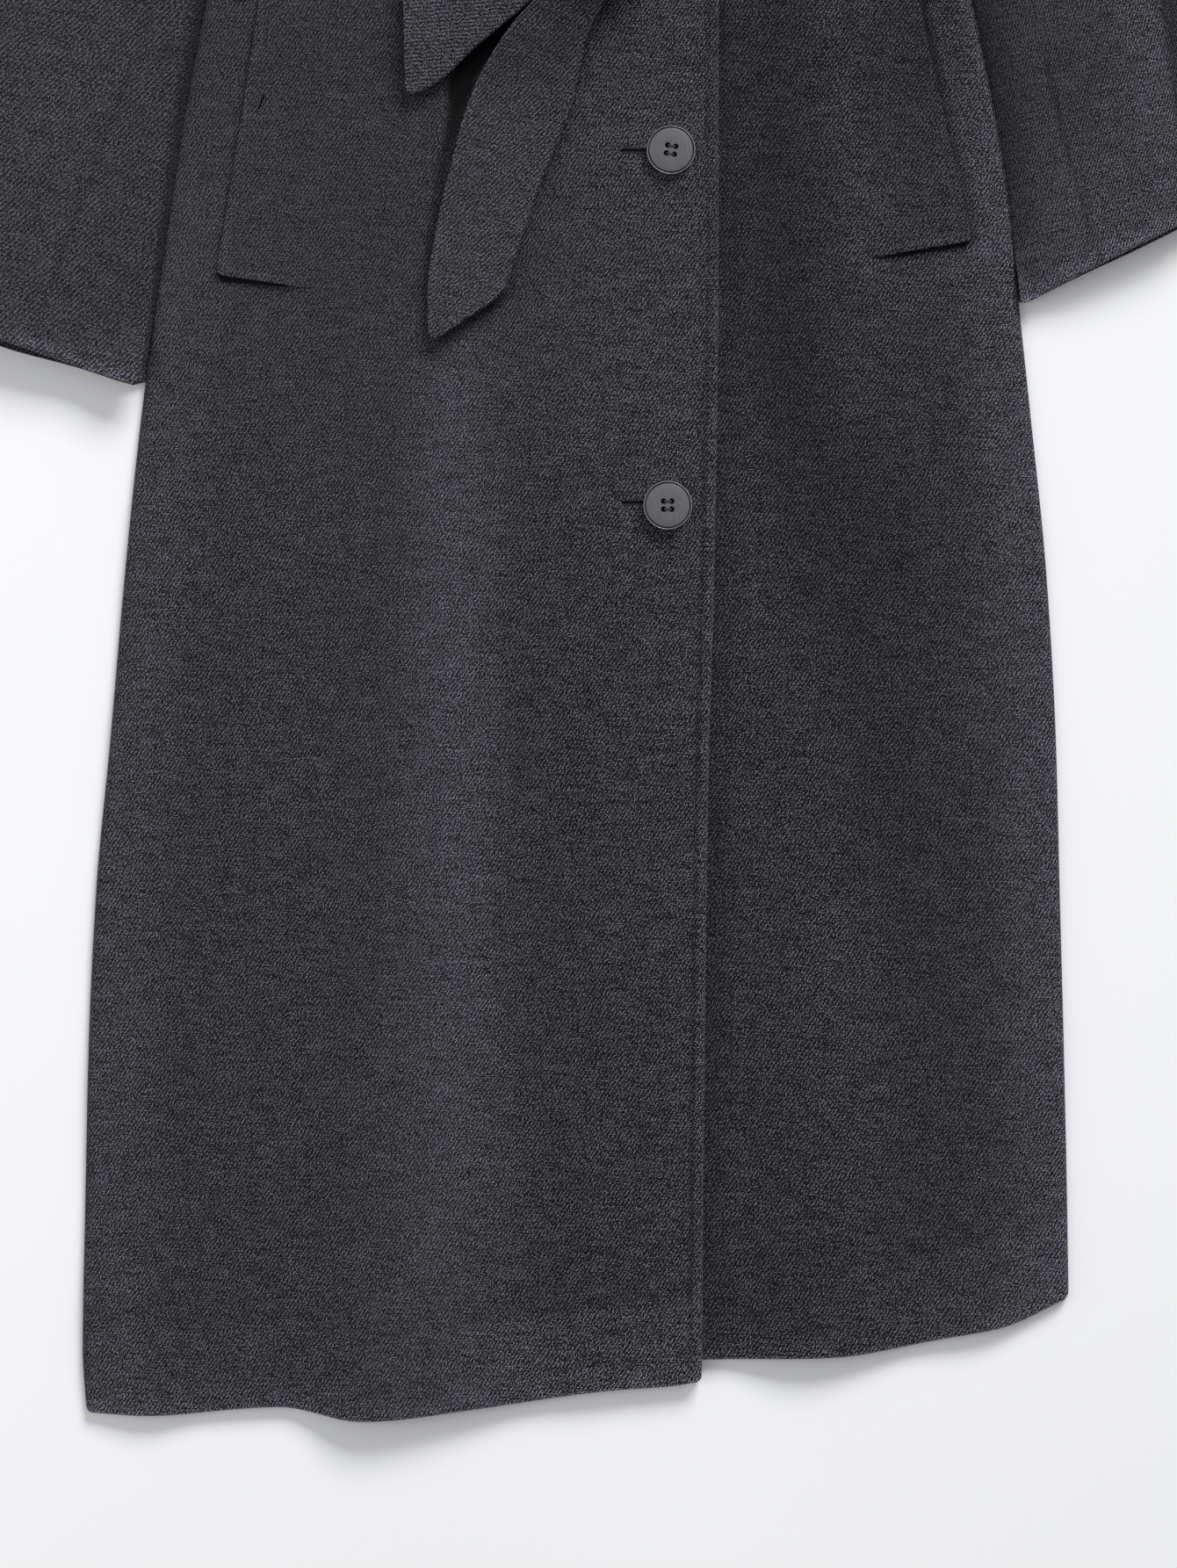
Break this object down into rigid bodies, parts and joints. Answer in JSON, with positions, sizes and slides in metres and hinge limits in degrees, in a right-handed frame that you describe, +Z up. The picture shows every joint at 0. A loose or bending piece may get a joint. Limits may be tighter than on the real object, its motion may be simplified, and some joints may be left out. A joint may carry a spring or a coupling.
{
  "type": "belted coat",
  "caption": "Long wool twill coat lying flat, one front lapped and buttoned over the other, with slanted pocket welts, notched lapels, long sleeves and a tied cloth belt.",
  "frame": {"origin": "on the surface the coat lies on, under the middle of its bounding box", "axes": "+X to the viewer's right across the coat, +Y from hem to collar, +Z up from the surface"},
  "size_m": [0.85, 1.3606, 0.0343],
  "materials": {
    "wool": "matte charcoal melange wool twill",
    "belt_wool": "matte charcoal melange wool twill, two layers",
    "button": "satin dark grey"
  },
  "bodies": {
    "root": {"back_panel": "wool", "front_over": "wool", "front_under": "wool", "lapel_over": "wool", "lapel_under": "wool", "collar_left": "wool", "collar_right": "wool", "sleeve_left_top": "wool", "sleeve_left_under": "wool", "sleeve_right_top": "wool", "sleeve_right_under": "wool", "welt_left": "wool", "welt_right": "wool", "belt_back": "belt_wool", "belt_front_left": "belt_wool", "belt_front_right": "belt_wool", "belt_knot": "belt_wool", "belt_tail_upper": "belt_wool", "belt_tail_lower": "belt_wool", "loop_left": "belt_wool", "loop_right": "belt_wool", "button_upper": "button", "button_lower": "button"}
  },
  "joints": []
}
